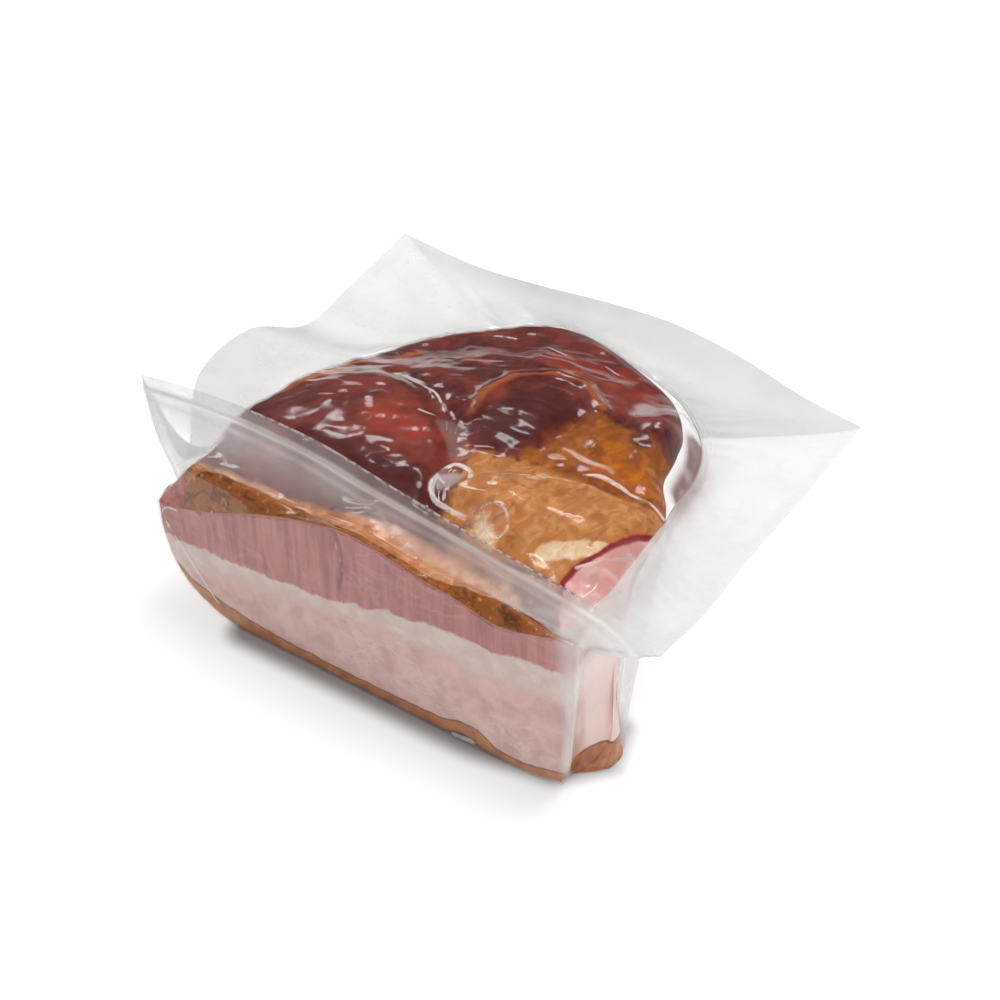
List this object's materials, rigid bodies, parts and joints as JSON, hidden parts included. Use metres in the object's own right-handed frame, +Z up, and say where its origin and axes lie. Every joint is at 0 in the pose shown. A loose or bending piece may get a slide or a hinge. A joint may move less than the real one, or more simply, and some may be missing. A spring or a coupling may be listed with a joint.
{
  "type": "vacuum-packed bacon slab",
  "caption": "Slab of smoked bacon sealed in a clear vacuum pouch, two flat cut faces, lumpy smoked top, wide film rim that stands up along the long cut.",
  "frame": {"origin": "on the surface the pack lies on, under the middle of the slab", "axes": "+X along the long cut face, towards the short cut face; +Y away from the long cut face; +Z up"},
  "size_m": [0.2328, 0.1784, 0.0912],
  "materials": {
    "clear_film": "clear glossy film, clinging to pink, white and dark red smoked meat"
  },
  "bodies": {
    "root": {"vacuum_pouch": "clear_film"}
  },
  "joints": []
}
